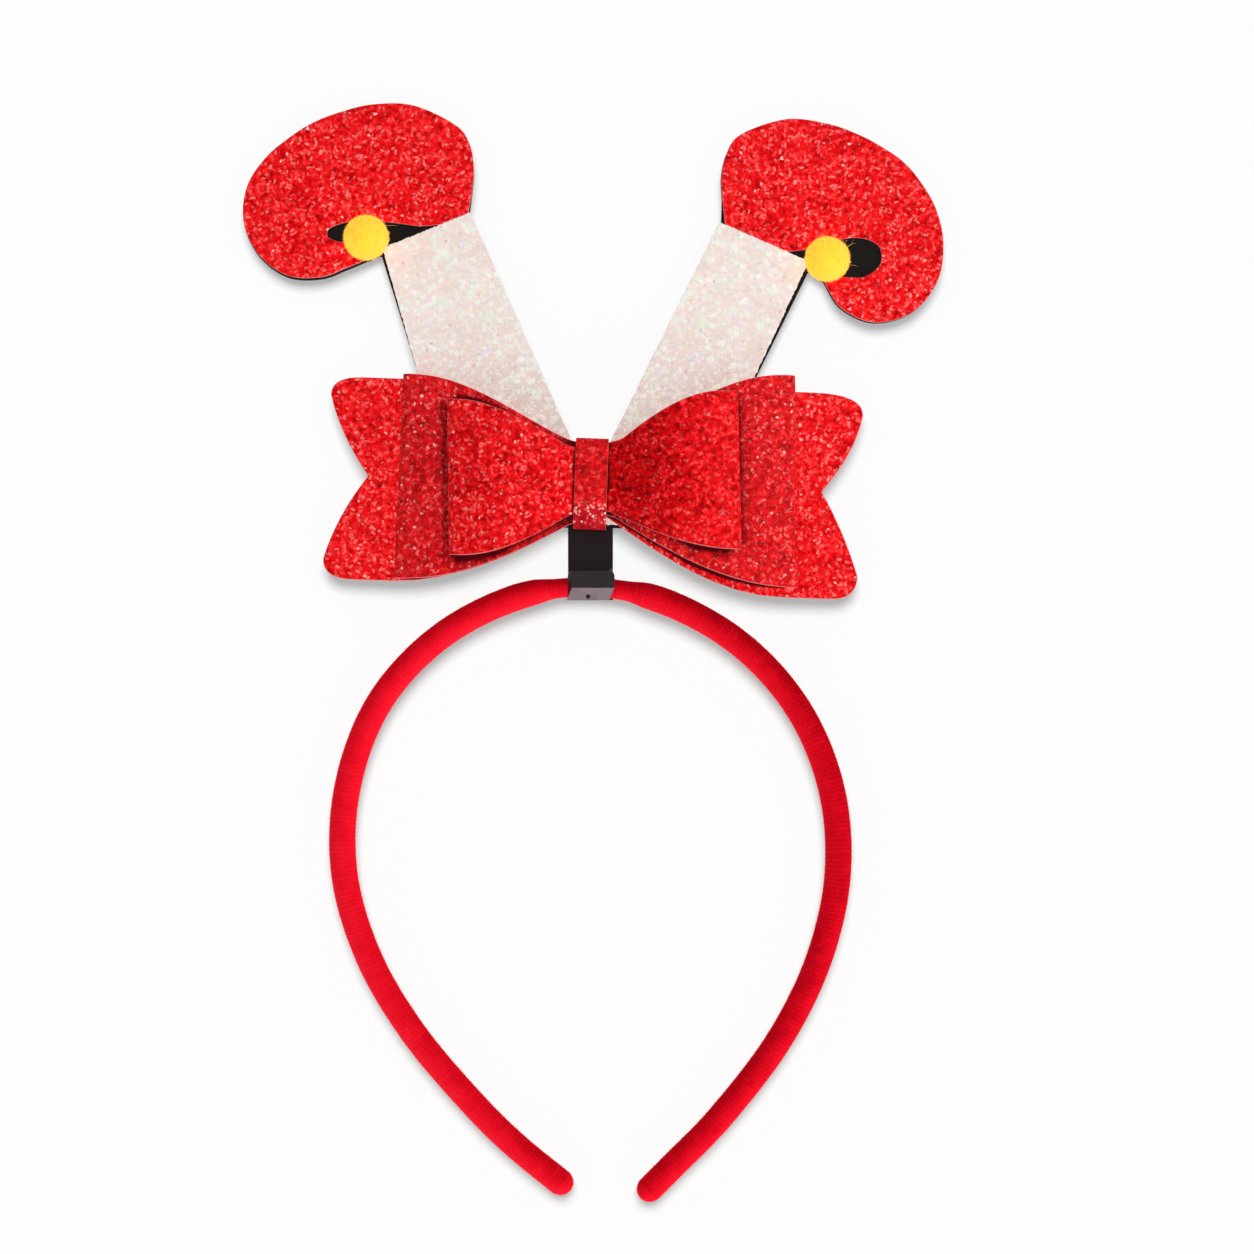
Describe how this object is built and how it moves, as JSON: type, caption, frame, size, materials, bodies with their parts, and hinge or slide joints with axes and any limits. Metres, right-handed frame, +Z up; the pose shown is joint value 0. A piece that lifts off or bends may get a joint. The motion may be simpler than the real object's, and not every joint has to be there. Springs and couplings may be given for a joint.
{
  "type": "elf legs headband",
  "caption": "Costume headband: velvet-covered hoop with a slide clip that carries upturned elf legs in glitter sheet, curled shoes with pompoms, and a layered glitter bow.",
  "frame": {"origin": "on the table under the middle of the headband as it lies on its back", "axes": "+Y from the band's tips to the shoes, +Z up from the table, +X to the right seen from above with the shoes at the top"},
  "size_m": [0.1664, 0.2609, 0.0229],
  "materials": {
    "velvet": "ribbed velvet pile",
    "black_plastic": "satin moulded plastic",
    "black_foam": "matte closed-cell foam",
    "white_glitter": "pearly glitter sheet",
    "red_glitter": "red glitter sheet",
    "yellow_pile": "short fuzzy pile"
  },
  "bodies": {
    "root": {"headband": "velvet", "slide_clip": "black_plastic", "legs_backing": "black_foam", "leg_left": "white_glitter", "leg_right": "white_glitter", "shoe_left": "red_glitter", "shoe_right": "red_glitter", "pompom_left": "yellow_pile", "pompom_right": "yellow_pile", "bow_tails": "red_glitter", "bow_loop_large": "red_glitter", "bow_loop_small": "red_glitter", "bow_knot": "red_glitter"}
  },
  "joints": []
}
